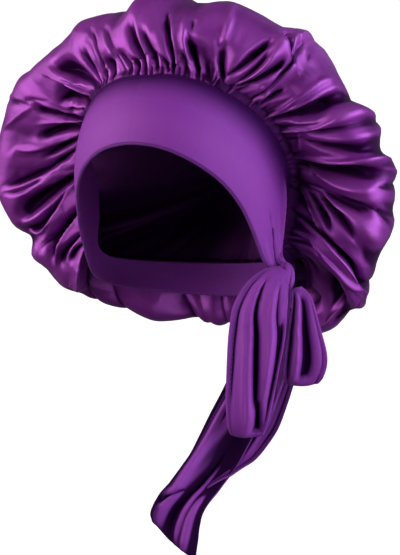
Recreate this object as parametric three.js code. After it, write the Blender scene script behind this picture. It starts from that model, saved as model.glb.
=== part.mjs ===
// A satin sleep bonnet, as it sits on a head. A wide smooth band runs over the forehead,
// down past both ears and round the nape. A full crown of thin satin is gathered on to the
// band's upper edge. The band's two ends are knotted below the wearer's left ear, and hang
// from the knot as two loops and two tails.
//
// Millimetres. +Z is up, the wearer looks along -Y, and +X is the wearer's left. The origin
// is the middle of the head, level with the forehead just above the band's lower edge.

import * as THREE from 'three';
import { mergeVertices } from 'three/addons/utils/BufferGeometryUtils.js';

// Driving dimensions
const BAND_WALL = 2.4; // two layers of stretch jersey
const CROWN_WALL = 1.8; // thin satin, with its turned and overlocked seams
const TIE_WALL = 2; // the band's ends, pressed flat
const SEAM_GAP = 0.4; // between two pieces that are sewn or tied together
const CROWN_BACK = 140; // how far the crown reaches behind the origin
const CROWN_BACK_UP = 4; // the height of that hindmost point
const GATHERS = 36; // small pleats where the crown is gathered in
const GATHER_DEPTH = 3.4;
const GATHER_INSET = 0.5; // the share of that depth by which they lie inward

// The ring of cloth round the head, from the middle of the forehead (first row) to the
// middle of the nape (last row). Both halves are alike. Each edge is given by its bearing
// from straight ahead, its distance from the head's upright axis and its height.
const RING = [
  { lowDeg: 0, lowR: 96.8, lowUp: 10, topDeg: 0, topR: 71.5, topUp: 58, swell: 5 },
  { lowDeg: 14, lowR: 95.6, lowUp: 6.5, topDeg: 18, topR: 71, topUp: 57, swell: 5 },
  { lowDeg: 28, lowR: 92, lowUp: -4, topDeg: 35, topR: 72, topUp: 51, swell: 5 },
  { lowDeg: 40, lowR: 87.5, lowUp: -17, topDeg: 50, topR: 73.5, topUp: 41.5, swell: 4.5 },
  { lowDeg: 50, lowR: 83, lowUp: -32, topDeg: 64, topR: 75.5, topUp: 29.5, swell: 4 },
  { lowDeg: 58, lowR: 79.5, lowUp: -48, topDeg: 78, topR: 77.5, topUp: 12, swell: 3 },
  { lowDeg: 64, lowR: 76.5, lowUp: -60, topDeg: 91, topR: 78, topUp: -12, swell: 2.5 },
  { lowDeg: 69, lowR: 74.5, lowUp: -69, topDeg: 92, topR: 77, topUp: -38, swell: 2 },
  { lowDeg: 76, lowR: 73, lowUp: -77, topDeg: 89, topR: 76, topUp: -57, swell: 1.5 },
  { lowDeg: 92, lowR: 72, lowUp: -84, topDeg: 97, topR: 75.5, topUp: -65, swell: 1.5 },
  { lowDeg: 118, lowR: 72, lowUp: -89, topDeg: 121, topR: 76, topUp: -69, swell: 1.5 },
  { lowDeg: 149, lowR: 74, lowUp: -93, topDeg: 150, topR: 78, topUp: -71, swell: 1.5 },
  { lowDeg: 180, lowR: 75, lowUp: -95, topDeg: 180, topR: 79, topUp: -72, swell: 1.5 },
];

// The crown's outline as seen from the front, in rows that match the ring's. Its two sides
// sag differently, so each has its own width and height. Back is depth, and flare is how
// strongly the cloth leaves the seam straight out from the head before it turns.
const RIM = [
  { leftOut: 0, leftUp: 114, rightOut: 0, rightUp: 114, back: -22, flare: 0.8 },
  { leftOut: 34, leftUp: 112, rightOut: 36, rightUp: 110, back: -20, flare: 0.8 },
  { leftOut: 64, leftUp: 98, rightOut: 70, rightUp: 98, back: -16, flare: 0.8 },
  { leftOut: 93, leftUp: 80, rightOut: 101, rightUp: 81, back: -10, flare: 0.8 },
  { leftOut: 115, leftUp: 56, rightOut: 127, rightUp: 59, back: -2, flare: 0.8 },
  { leftOut: 129, leftUp: 25, rightOut: 148, rightUp: 31, back: 6, flare: 0.9 },
  { leftOut: 141, leftUp: -8, rightOut: 157, rightUp: -6, back: 14, flare: 1 },
  { leftOut: 138, leftUp: -43, rightOut: 149, rightUp: -40, back: 24, flare: 1.1 },
  { leftOut: 128, leftUp: -77, rightOut: 131, rightUp: -72, back: 36, flare: 1.2 },
  { leftOut: 112, leftUp: -103, rightOut: 103, rightUp: -93, back: 50, flare: 1.7 },
  { leftOut: 77, leftUp: -115, rightOut: 70, rightUp: -105, back: 72, flare: 3.4 },
  { leftOut: 36, leftUp: -115, rightOut: 35, rightUp: -110, back: 92, flare: 5 },
  { leftOut: 0, leftUp: -112, rightOut: 0, rightUp: -112, back: 100, flare: 6 },
];

// The crown's big folds, once round from the top of the forehead by way of the wearer's
// left. Each row is one puff of cloth: where it starts, as a share of the way round, and
// how far it stands out.
const PUFFS = [
  { from: 0.021, reach: 6 },
  { from: 0.058, reach: 6 },
  { from: 0.1, reach: 6 },
  { from: 0.143, reach: 8 },
  { from: 0.185, reach: 8 },
  { from: 0.23, reach: 7 },
  { from: 0.268, reach: 8 },
  { from: 0.31, reach: 8 },
  { from: 0.35, reach: 7 },
  { from: 0.39, reach: 7 },
  { from: 0.435, reach: 6 },
  { from: 0.48, reach: 6 },
  { from: 0.525, reach: 6 },
  { from: 0.57, reach: 6 },
  { from: 0.612, reach: 7 },
  { from: 0.654, reach: 7 },
  { from: 0.69, reach: 7 },
  { from: 0.7375, reach: 8 },
  { from: 0.779, reach: 7 },
  { from: 0.817, reach: 8 },
  { from: 0.858, reach: 7 },
  { from: 0.898, reach: 6 },
  { from: 0.95, reach: 8 },
];

const RIM_AT = 0.4; // the share of the way from the seam to the crown's back at its rim
const CROWN_ROWS = [0, 0.035, 0.085, 0.15, 0.23, 0.32, 0.41, 0.52, 0.64, 0.76, 0.88, 1];
const CROWN_STEPS = 4 * GATHERS;

const v3 = (x, y, z) => new THREE.Vector3(x, y, z);
const FORWARD = v3(0, -1, 0);
const BACKWARD = v3(0, 1, 0);
const lerp = THREE.MathUtils.lerp;

// A closed curve from a half ring's points on the wearer's left, and those on the right.
function ringCurve(left, right) {
  const back = right.slice(1, -1).reverse();
  const points = [...left, ...back.map((p) => v3(-p.x, p.y, p.z))];
  return new THREE.CatmullRomCurve3(points, true, 'centripetal');
}

const evenCurve = (points) => ringCurve(points, points);

function onBearing(degrees, radius, up) {
  const a = THREE.MathUtils.degToRad(degrees);
  return v3(radius * Math.sin(a), -radius * Math.cos(a), up);
}

const lowEdge = evenCurve(RING.map((r) => onBearing(r.lowDeg, r.lowR, r.lowUp)));
const topEdge = evenCurve(RING.map((r) => onBearing(r.topDeg, r.topR, r.topUp)));
const rim = ringCurve(
  RIM.map((r) => v3(r.leftOut, r.back, r.leftUp)),
  RIM.map((r) => v3(r.rightOut, r.back, r.rightUp)),
);

// A value from a table's column, a share u of the way round, the same on both sides.
function around(table, column, u) {
  const turned = u > 0.5 ? 1 - u : u;
  const at = turned * 2 * (table.length - 1);
  const i = Math.min(Math.floor(at), table.length - 2);
  return lerp(table[i][column], table[i + 1][column], at - i);
}

// A value from evenly spaced samples, a share t of the way along them.
function along(samples, t) {
  const at = THREE.MathUtils.clamp(t, 0, 1) * (samples.length - 1);
  const i = Math.min(Math.floor(at), samples.length - 2);
  const s = THREE.MathUtils.smoothstep(at - i, 0, 1);
  return lerp(samples[i], samples[i + 1], s);
}

// The outward direction of a surface that runs round with u and away from the head with w.
function normalOf(surface, u, w) {
  const step = 1e-3;
  const round = surface(u + step, w).sub(surface(u - step, w));
  const away = surface(u, Math.min(w + step, 1)).sub(surface(u, Math.max(w - step, 0)));
  return round.cross(away).normalize();
}

// A closed wall between an outer and an inner surface. Both run over u and w from 0 to 1.
// With ring set, u comes back to where it started, and the wall has no ends there.
function wall(outer, inner, uSteps, wRows, ring) {
  const corners = [];
  const quad = (a, b, c, d) => corners.push(a, b, c, a, c, d);
  const us = Array.from({ length: uSteps + 1 }, (_, i) => (ring ? i % uSteps : i) / uSteps);
  const grid = (surface) => us.map((u) => wRows.map((w) => surface(u, w)));
  const [out, into] = [grid(outer), grid(inner)];
  const lastW = wRows.length - 1;
  for (let i = 0; i < uSteps; i++) {
    for (let j = 0; j < lastW; j++) {
      quad(out[i][j], out[i + 1][j], out[i + 1][j + 1], out[i][j + 1]);
      quad(into[i][j], into[i][j + 1], into[i + 1][j + 1], into[i + 1][j]);
    }
    quad(out[i][0], into[i][0], into[i + 1][0], out[i + 1][0]);
    quad(out[i][lastW], out[i + 1][lastW], into[i + 1][lastW], into[i][lastW]);
  }
  if (!ring) {
    for (let j = 0; j < lastW; j++) {
      quad(out[0][j], out[0][j + 1], into[0][j + 1], into[0][j]);
      quad(out[uSteps][j], into[uSteps][j], into[uSteps][j + 1], out[uSteps][j + 1]);
    }
  }
  return closedGeometry(corners);
}

// One geometry from loose triangles: shared corners merged, collapsed triangles dropped,
// and the whole turned so that its faces point out.
function closedGeometry(corners) {
  const loose = new THREE.BufferGeometry().setFromPoints(corners);
  const merged = mergeVertices(loose, 1e-4);
  const place = merged.getAttribute('position');
  const at = (i) => v3().fromBufferAttribute(place, i);
  let faces = [];
  let volume = 0;
  for (let i = 0; i < merged.index.count; i += 3) {
    const [a, b, c] = [0, 1, 2].map((k) => merged.index.getX(i + k));
    if (a === b || b === c || c === a) continue;
    faces.push([a, b, c]);
    volume += at(a).dot(at(b).cross(at(c)));
  }
  if (volume < 0) faces = faces.map(([a, b, c]) => [a, c, b]);
  merged.setIndex(faces.flat());
  merged.computeVertexNormals();
  return merged;
}

const evenRows = (count) => Array.from({ length: count + 1 }, (_, i) => i / count);

// The band: from its lower edge (w = 0) to its upper edge (w = 1), bowed out over the head.
function bandMiddle(u, w) {
  const low = lowEdge.getPoint(((u % 1) + 1) % 1);
  const top = topEdge.getPoint(((u % 1) + 1) % 1);
  const out = v3(low.x + top.x, low.y + top.y, 0).normalize();
  const rise = low.clone().setZ(0).length() - top.clone().setZ(0).length();
  out.z = Math.max(rise, 0) / Math.max(top.z - low.z, 1);
  const swell = around(RING, 'swell', ((u % 1) + 1) % 1) * 4 * w * (1 - w);
  return low.lerp(top, w).addScaledVector(out.normalize(), swell);
}

function bandSide(offset) {
  return (u, w) => bandMiddle(u, w).addScaledVector(normalOf(bandMiddle, u, w), offset);
}

const band = wall(bandSide(BAND_WALL / 2), bandSide(-BAND_WALL / 2), 72, evenRows(4), true);

// The crown without its folds: out from the band's upper edge, round the rim, and over to
// the hindmost point.
const crownBack = v3(0, CROWN_BACK, CROWN_BACK_UP);

// How far the curve's handles reach: from the seam, to the rim, from the rim and to the back.
const LEAVE = 0.45;
const ARRIVE = 0.42;
const TURN = 0.55;
const CLOSE = 0.58;

function crownLine(u) {
  const top = bandMiddle(u, 1);
  const run = topEdge.getTangent(u);
  const upward = top.clone().sub(bandMiddle(u, 0.97));
  upward.addScaledVector(run, -upward.dot(run)).normalize();
  const edge = rim.getPoint(u);
  const leave = edge.clone().sub(top).normalize();
  leave.addScaledVector(top.clone().setZ(0).normalize(), around(RIM, 'flare', u)).normalize();
  const drop = Math.max(-leave.dot(upward), 0);
  const seam = top.addScaledVector(upward, CROWN_WALL / 2 + SEAM_GAP + drop * BAND_WALL);
  const reach = seam.distanceTo(edge);
  const start = seam.clone().addScaledVector(leave, LEAVE * reach);
  const arrive = edge.clone().addScaledVector(FORWARD, ARRIVE * reach);
  const turn = edge.clone().addScaledVector(BACKWARD, TURN * (CROWN_BACK - edge.y));
  const close = crownBack.clone().lerp(v3(edge.x, CROWN_BACK, edge.z), CLOSE);
  return [
    new THREE.CubicBezierCurve3(seam, start, arrive, edge),
    new THREE.CubicBezierCurve3(edge, turn, close, crownBack),
  ];
}

function crownPlain(u, w) {
  const [front, back] = crownLine(((u % 1) + 1) % 1);
  return w < RIM_AT ? front.getPoint(w / RIM_AT) : back.getPoint((w - RIM_AT) / (1 - RIM_AT));
}

// How far the big puffs stand out, a share u of the way round: rounded tops, sharp valleys.
function puff(u) {
  const turned = ((u % 1) + 1) % 1;
  const last = PUFFS.length - 1;
  const i = turned < PUFFS[0].from ? last : PUFFS.findLastIndex((p) => p.from <= turned);
  const start = turned < PUFFS[0].from ? PUFFS[last].from - 1 : PUFFS[i].from;
  const end = i === last ? PUFFS[0].from + (start < 0 ? 0 : 1) : PUFFS[i + 1].from;
  return PUFFS[i].reach * (Math.sin((Math.PI * (turned - start)) / (end - start)) ** 0.8 - 0.55);
}

const PUFF_SHARES = [0, 0.45, 0.8, 1, 1, 0.9, 0.7, 0.45, 0.2, 0]; // from the seam to the back
const GATHER_SHARES = [0, 1, 0.9, 0.6, 0.3, 0.12, 0.05, 0, 0, 0, 0];

function crownSide(offset) {
  return (u, w) => {
    const big = puff(u) * along(PUFF_SHARES, w);
    const wave = Math.cos(2 * Math.PI * GATHERS * u) - GATHER_INSET;
    const small = GATHER_DEPTH * wave * along(GATHER_SHARES, w);
    const out = w > 0.97 ? BACKWARD : normalOf(crownPlain, u, w);
    return crownPlain(u, w).addScaledVector(out, big + small + offset);
  };
}

const [crownOuter, crownInner] = [crownSide(CROWN_WALL / 2), crownSide(-CROWN_WALL / 2)];
const crown = wall(crownOuter, crownInner, CROWN_STEPS, CROWN_ROWS, true);

// A ribbon of cloth along a route. Its width lies along the given side direction, and the
// folds, each a share of the width and a depth, run down its length.
function ribbon({ route, side, widths, folds, depth, steps, rows, skew = 0 }) {
  const curve = new THREE.CatmullRomCurve3(route.map((p) => v3(...p)), false, 'centripetal');
  const across = v3(...side).normalize();
  const face = (offset) => (u, w) => {
    const t = w - skew * (1 - u) * w ** 6;
    const run = curve.getTangent(t);
    const wide = across.clone().addScaledVector(run, -across.dot(run)).normalize();
    const out = run.clone().cross(wide).normalize();
    const ripple = Math.sin(2 * Math.PI * folds * u + 0.6) * along(depth, w);
    return curve.getPoint(t)
      .addScaledVector(wide, (u - 0.5) * along(widths, w))
      .addScaledVector(out, ripple + offset);
  };
  return wall(face(TIE_WALL / 2), face(-TIE_WALL / 2), steps, evenRows(rows), false);
}

// The knot, loops and tails hang from here, in a frame turned to the side of the jaw: x is
// across it, y is towards the head, and z is up.
const TIES_TURN_DEG = 25;

// The knot: a plump twist of cloth below the ear, its wraps slanting across it.
const KNOT = { at: v3(67.7, -47, -80.2), wide: 7.5, deep: 7, tall: 11.5, wraps: 3, wrapDepth: 1 };

function knotGeometry() {
  const ball = new THREE.SphereGeometry(1, 20, 12);
  const place = ball.getAttribute('position');
  for (let i = 0; i < place.count; i++) {
    const p = v3().fromBufferAttribute(place, i);
    const turn = Math.atan2(p.x, p.z);
    const ring = Math.max(1 - p.y * p.y, 0) ** 0.3;
    const wrap = ring * (1 + (KNOT.wrapDepth / KNOT.wide) * Math.sin(KNOT.wraps * turn + 4 * p.y));
    const up = KNOT.tall * p.y;
    place.setXYZ(i, KNOT.wide * wrap * Math.sin(turn), KNOT.deep * wrap * Math.cos(turn), up);
  }
  const corners = [];
  for (let i = 0; i < ball.index.count; i++) {
    corners.push(v3().fromBufferAttribute(place, ball.index.getX(i)));
  }
  return closedGeometry(corners);
}

const loopFront = ribbon({
  route: [
    [66, -55, -81], [55, -58, -88], [50, -60, -102], [46, -61, -120], [44, -60, -147],
    [42, -58, -170], [41, -54, -188], [40.5, -49, -193], [41, -44, -187], [44, -42, -168],
    [47, -42, -145], [51, -43, -120], [57, -46, -104], [63, -50, -93],
  ],
  side: [1, 0, 0],
  widths: [10, 27, 36, 37, 34, 31, 26, 23, 26, 29, 31, 29, 20, 9],
  folds: 1.6,
  depth: [0.3, 1.5, 2.5, 3, 3, 2.5, 1, 0.5, 0.8, 1.2, 1.5, 1.5, 1, 0.3],
  steps: 10,
  rows: 26,
});

const loopBack = ribbon({
  route: [
    [74.2, -51.1, -90], [77.5, -53, -98], [79, -54, -118], [80.5, -53, -140], [79.5, -50, -152],
    [79, -46, -156], [79, -42, -151], [79.5, -41, -136], [78, -42, -116], [76, -44, -98],
    [74.4, -46.2, -91.2],
  ],
  side: [1, 0, 0],
  widths: [8, 15, 24, 31, 27, 22, 25, 28, 22, 14, 8],
  folds: 1.7,
  depth: [0.3, 1, 2, 2.2, 1, 0.4, 0.8, 1.2, 1.2, 0.8, 0.3],
  steps: 10,
  rows: 20,
});

const tailLong = ribbon({
  route: [
    [63.8, -44, -91], [58, -37, -112], [49, -33, -142], [39, -31, -168], [32, -33, -184],
    [22, -39, -202], [11, -47, -218], [0, -53, -232], [-10, -57, -246], [-12, -59, -260],
    [-8, -61, -280],
  ],
  side: [1, 0, 0.25],
  widths: [8, 20, 29, 31, 30, 30, 29, 30, 37, 34, 26],
  folds: 1.3,
  depth: [0.3, 1.5, 2, 3, 4, 5, 5, 5, 4, 4, 3],
  steps: 10,
  rows: 20,
  skew: 0.1,
});

const tailShort = ribbon({
  route: [
    [72.6, -41.2, -89.6], [75, -29, -115], [70, -25, -140], [64, -24, -161], [60, -25, -173],
    [55, -27, -186], [48, -30, -198], [39, -34, -210], [27, -39, -220], [11, -43, -230],
  ],
  side: [0.9, 0, 0.5],
  widths: [8, 14, 17, 17, 17, 17, 16, 14, 12, 8],
  folds: 1,
  depth: [0.3, 1, 1.6, 1.8, 1.8, 1.6, 1.4, 1.2, 1, 0.6],
  steps: 8,
  rows: 18,
});

const SATIN = { color: 0x6f2a8e, roughness: 0.32, metalness: 0 };
const JERSEY = { color: 0x7a3798, roughness: 0.55, metalness: 0 };

const bonnet = new THREE.Group();
const ties = new THREE.Group();
ties.rotation.z = THREE.MathUtils.degToRad(TIES_TURN_DEG);
bonnet.add(ties);

function add(group, name, geometry, finish, at = v3()) {
  const mesh = new THREE.Mesh(geometry, new THREE.MeshStandardMaterial(finish));
  mesh.name = name;
  mesh.position.copy(at);
  group.add(mesh);
}

add(bonnet, 'crown', crown, SATIN);
add(bonnet, 'band', band, JERSEY);
add(ties, 'knot', knotGeometry(), JERSEY, KNOT.at);
add(ties, 'loop_front', loopFront, JERSEY);
add(ties, 'loop_back', loopBack, JERSEY);
add(ties, 'tail_long', tailLong, JERSEY);
add(ties, 'tail_short', tailShort, JERSEY);

export default bonnet;
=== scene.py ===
# %% [markdown]
# # A gathered sleep bonnet, worn and tied
# A full crown of glossy satin is gathered on to a wide jersey band, and the band's two ends are twisted
# together below the wearer's left ear and hang in two loops and two tails. Every piece is cloth, so every
# piece is a surface over a grid, worked out with numpy and given the thickness of its cloth.
#
# Lengths in the tables are millimetres. The wearer looks along -Y and +X is the wearer's left. u runs
# once round the head from the middle of the forehead by the wearer's left, and w runs across the cloth.

import math

import bmesh
import bpy
import numpy as np
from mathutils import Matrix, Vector


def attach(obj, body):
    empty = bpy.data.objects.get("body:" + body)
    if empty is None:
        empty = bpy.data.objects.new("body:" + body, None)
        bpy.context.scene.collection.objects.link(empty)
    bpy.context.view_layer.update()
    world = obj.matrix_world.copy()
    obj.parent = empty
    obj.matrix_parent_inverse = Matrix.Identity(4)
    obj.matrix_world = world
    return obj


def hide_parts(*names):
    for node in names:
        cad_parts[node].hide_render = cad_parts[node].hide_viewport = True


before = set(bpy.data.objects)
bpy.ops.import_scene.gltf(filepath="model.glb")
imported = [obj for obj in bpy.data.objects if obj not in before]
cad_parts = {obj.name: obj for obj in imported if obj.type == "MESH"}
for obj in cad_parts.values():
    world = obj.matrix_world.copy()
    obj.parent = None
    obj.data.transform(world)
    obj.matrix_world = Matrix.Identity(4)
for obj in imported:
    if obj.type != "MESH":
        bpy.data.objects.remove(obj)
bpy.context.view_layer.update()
MM = 0.001
print("nodes", sorted(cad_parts))

# %% [markdown]
# ## Camera
# The photograph was taken level, from 25 degrees to the wearer's left and about 1.5 m away. One pixel is
# then 0.728 mm at the middle of the head, which sets the lens.

# %% Camera
VIEW_DEG = 25
DISTANCE = 1500
MM_PER_PIXEL = 0.728
PICTURE_HEIGHT = 555
AIM_RIGHT, AIM_UP = 7.28, -81.9
SENSOR = 36


def placed(name, data):
    """A new object of this data, linked to the scene."""
    thing = bpy.data.objects.new(name, data)
    bpy.context.scene.collection.objects.link(thing)
    return thing


def aimed(thing, place, back):
    """Puts a camera or a lamp at this place, with its back turned this way."""
    thing.location = place
    thing.rotation_mode = "QUATERNION"
    thing.rotation_quaternion = back.to_track_quat("Z", "Y")


yaw = math.radians(VIEW_DEG)
image_right = np.array([math.cos(yaw), math.sin(yaw), 0.0])
towards_camera = np.array([math.sin(yaw), -math.cos(yaw), 0.0])
aim = image_right * AIM_RIGHT + np.array([0, 0, AIM_UP])

camera = placed("camera", bpy.data.cameras.new("camera"))
aimed(camera, Vector((aim + towards_camera * DISTANCE) * MM), Vector(towards_camera))
camera.data.sensor_width = SENSOR
camera.data.lens = SENSOR * DISTANCE / MM_PER_PIXEL / PICTURE_HEIGHT
bpy.context.scene.camera = camera
print(f"lens {camera.data.lens:.2f} mm")

# %% [markdown]
# ## Shared shapes
# Each sheet is a function from its own two coordinates to a point, called on a whole grid at once. The
# curves are the same centripetal Catmull-Rom splines that the CAD uses, so both run through the same points.

# %% Curves


def unit(v):
    """v scaled to length one."""
    return v / np.maximum(np.linalg.norm(v, axis=-1, keepdims=True), 1e-12)


def smooth(x, low, high):
    """0 below low, 1 above high, and an even S between them: 3t^2 - 2t^3."""
    t = np.clip((x - low) / (high - low), 0, 1)
    return t * t * (3 - 2 * t)


def spline(p0, p1, p2, p3, s):
    """A cubic from p1 to p2 whose end tangents weigh the neighbours by the root of their distance."""
    d0, d1, d2 = (
        np.maximum(np.linalg.norm(b - a, axis=-1, keepdims=True) ** 0.5, 1e-6)
        for a, b in ((p0, p1), (p1, p2), (p2, p3))
    )
    t1 = ((p1 - p0) / d0 - (p2 - p0) / (d0 + d1) + (p2 - p1) / d1) * d1
    t2 = ((p2 - p1) / d1 - (p3 - p1) / (d1 + d2) + (p3 - p2) / d2) * d1
    return p1 + t1 * s + (3 * (p2 - p1) - 2 * t1 - t2) * s**2 + (2 * (p1 - p2) + t1 + t2) * s**3


def between(x, low, full, fade, gone):
    """0 below low, 1 from full to fade and 0 again above gone."""
    return smooth(x, low, full) * (1 - smooth(x, fade, gone))


def closed_curve(points, u):
    """The point at share u of the closed spline through points."""
    n = len(points)
    x = np.asarray(u) % 1 * n
    i = np.floor(x).astype(int) % n
    return spline(*(points[(i + k) % n] for k in (-1, 0, 1, 2)), (x - np.floor(x))[..., None])


def open_curve(points, w):
    """The point at share w of the open spline, whose end tangents carry straight on."""
    p = np.concatenate([[2 * points[0] - points[1]], points, [2 * points[-1] - points[-2]]])
    x = np.clip(w, 0, 1) * (len(points) - 1)
    i = np.minimum(np.floor(x).astype(int), len(points) - 2)
    return spline(p[i], p[i + 1], p[i + 2], p[i + 3], (x - i)[..., None])


def along(values, w):
    """A table's column read at share w, straight between its rows."""
    return np.interp(w, np.linspace(0, 1, len(values)), values)


def around(values, u):
    """A table's column read round the ring, from the front at 0 to the back at a half and home again."""
    u = np.asarray(u) % 1
    return along(values, 2 * np.minimum(u, 1 - u))


# %% Meshes


def mesh_piece(name, points, faces, uv, **attributes):
    """An object of these points in millimetres, with a map from flat cloth metres and point attributes."""
    mesh = bpy.data.meshes.new(name)
    mesh.from_pydata((points * MM).tolist(), [], faces)
    mesh.update()
    corner = np.empty(len(mesh.loops), dtype=np.int32)
    mesh.loops.foreach_get("vertex_index", corner)
    layer = mesh.uv_layers.new(name="flat")
    layer.data.foreach_set("uv", uv[corner].astype(np.float32).ravel())
    for key, value in attributes.items():
        mesh.attributes.new(key, "FLOAT", "POINT").data.foreach_set("value", value.astype(np.float32).ravel())
    mesh.shade_smooth()
    piece = placed(name, mesh)
    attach(piece, "root")
    return piece


def grid_faces(rows, columns):
    """Four-cornered faces of a grid numbered row by row, with the last column joined to the first."""
    r, c = np.meshgrid(np.arange(rows - 1), np.arange(columns), indexing="ij")
    d = (c + 1) % columns
    corners = (r * columns + c, r * columns + d, (r + 1) * columns + d, (r + 1) * columns + c)
    return np.stack(corners, -1).reshape(-1, 4)


def fan(ring, tip):
    """Triangles from a ring of point numbers to one more."""
    return np.stack([ring, np.roll(ring, -1), np.full(len(ring), tip)], -1)


def face_outwards(piece):
    """Turns every face of a closed piece outwards."""
    work = bmesh.new()
    work.from_mesh(piece.data)
    bmesh.ops.recalc_face_normals(work, faces=work.faces)
    work.to_mesh(piece.data)
    work.free()


# %% [markdown]
# ## The band and the way the crown leaves it
# The band is a wide doubled strip of stretch jersey. It stands 70 mm high over the forehead, slopes down
# past the ears and draws in towards the knot. One table gives its two edges by bearing, and another the
# crown's widest outline, which both the band and the crown are read from, as in the CAD.

# %% Tables of the band's edges and the crown's rim
# columns: lower edge bearing, radius, height; upper edge bearing, radius, height; swell between them
RING = np.array([
    (0, 96.8, 10, 0, 71.5, 58, 5),
    (14, 95.6, 6.5, 18, 71, 57, 5),
    (28, 92, -4, 35, 72, 51, 5),
    (40, 87.5, -17, 50, 73.5, 41.5, 4.5),
    (50, 83, -32, 64, 75.5, 29.5, 4),
    (58, 79.5, -48, 78, 77.5, 12, 3),
    (64, 76.5, -60, 91, 78, -12, 2.5),
    (69, 74.5, -69, 92, 77, -38, 2),
    (76, 73, -77, 89, 76, -57, 1.5),
    (92, 72, -84, 97, 75.5, -65, 1.5),
    (118, 72, -89, 121, 76, -69, 1.5),
    (149, 74, -93, 150, 78, -71, 1.5),
    (180, 75, -95, 180, 79, -72, 1.5),
], dtype=float)
# columns: left side out, up; right side out, up; how far back; how strongly the cloth flares off the band
RIM = np.array([
    (0, 114, 0, 114, -22, 0.8),
    (34, 112, 36, 110, -20, 0.8),
    (64, 98, 70, 98, -16, 0.8),
    (93, 80, 101, 81, -10, 0.8),
    (115, 56, 127, 59, -2, 0.8),
    (129, 25, 148, 31, 6, 0.9),
    (141, -8, 157, -6, 14, 1),
    (138, -43, 149, -40, 24, 1.1),
    (128, -77, 131, -72, 36, 1.2),
    (112, -103, 103, -93, 50, 1.7),
    (77, -115, 70, -105, 72, 3.4),
    (36, -115, 35, -110, 92, 5),
    (0, -112, 0, -112, 100, 6),
], dtype=float)
CROWN_BACK = np.array([0, 140, 4.0])
BACKWARD = np.array([0, 1.0, 0])


def on_bearing(degrees, radius, up):
    """Points at a bearing from straight ahead, turning to the wearer's left."""
    a = np.radians(degrees)
    return np.stack([radius * np.sin(a), -radius * np.cos(a), up], -1)


def ring(left, right):
    """The closed ring of the left side's rows and the right side's, mirrored."""
    return np.concatenate([left, right[1:-1][::-1] * [-1, 1, 1]])


low_points = on_bearing(*RING[:, :3].T)
top_points = on_bearing(*RING[:, 3:6].T)
LOW_RING = ring(low_points, low_points)
TOP_RING = ring(top_points, top_points)
RIM_RING = ring(RIM[:, [0, 4, 1]], RIM[:, [2, 4, 3]])


def band_middle(u, w):
    """Straight from the lower edge to the upper one, swelling outwards by 4w(1-w) of the swell."""
    low, top = closed_curve(LOW_RING, u), closed_curve(TOP_RING, u)
    out = unit((low + top) * [1, 1, 0])
    rise = np.linalg.norm(low[..., :2], axis=-1) - np.linalg.norm(top[..., :2], axis=-1)
    out[..., 2] = np.maximum(rise, 0) / np.maximum(top[..., 2] - low[..., 2], 1)
    w = np.asarray(w)
    return low + (top - low) * w[..., None] + unit(out) * (around(RING[:, 6], u) * 4 * w * (1 - w))[..., None]


seam_steps = np.diff(closed_curve(TOP_RING, np.linspace(0, 1, 721)), axis=0)
print(f"seam {np.linalg.norm(seam_steps, axis=1).sum():.0f} mm round")

# %% [markdown]
# ## The crown
# A flat disc of satin about 520 mm across, gathered three to one into the band's upper edge. It bulges
# forward off the band, turns over at its widest outline and closes behind the head. The plain bag is a
# cubic from the seam to the rim and another from the rim to the hindmost point.

# %% The plain bag of the crown
RIM_AT = 0.4
LEAVE, ARRIVE, TURN, CLOSE = 0.45, 0.42, 0.55, 0.58  # the cubics' handles, as shares of their reach
SEAM_LIFT, SEAM_DROP = 0.3, 1.5  # how far off the band the seam lies, and more where the cloth turns down


def cubic(a, b, c, d, t):
    """A Bezier curve: a(1-t)^3 + 3b t(1-t)^2 + 3c t^2(1-t) + d t^3."""
    t = t[..., None]
    return a * (1 - t) ** 3 + 3 * b * t * (1 - t) ** 2 + 3 * c * t**2 * (1 - t) + d * t**3


def crown_plain(u, w):
    """The bag before it is gathered: w is 0 at the seam, 0.4 at the rim and 1 at the hindmost point."""
    u, w = np.broadcast_arrays(np.asarray(u, float), np.asarray(w, float))
    top = band_middle(u, np.ones_like(u))
    run = unit(closed_curve(TOP_RING, u + 1e-4) - closed_curve(TOP_RING, u - 1e-4))
    upward = top - band_middle(u, np.full_like(u, 0.97))
    upward = unit(upward - run * (upward * run).sum(-1, keepdims=True))
    edge = closed_curve(RIM_RING, u)
    leave = unit(unit(edge - top) + unit(top * [1, 1, 0]) * around(RIM[:, 5], u)[..., None])
    drop = np.maximum(-(leave * upward).sum(-1, keepdims=True), 0)
    seam = top + upward * (SEAM_LIFT + drop * SEAM_DROP)
    reach = np.linalg.norm(edge - seam, axis=-1, keepdims=True)
    far = edge * (1 - BACKWARD) + CROWN_BACK * BACKWARD
    share = np.clip(w / RIM_AT, 0, 1)
    front = cubic(seam, seam + leave * LEAVE * reach, edge - BACKWARD * ARRIVE * reach, edge, share)
    turn = edge + BACKWARD * TURN * (far - edge)[..., 1:2]
    end = np.broadcast_to(CROWN_BACK, edge.shape)
    share = np.clip((w - RIM_AT) / (1 - RIM_AT), 0, 1)
    behind = cubic(edge, turn, end + (far - end) * CLOSE, end, share)
    return np.where((w < RIM_AT)[..., None], front, behind)
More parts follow.
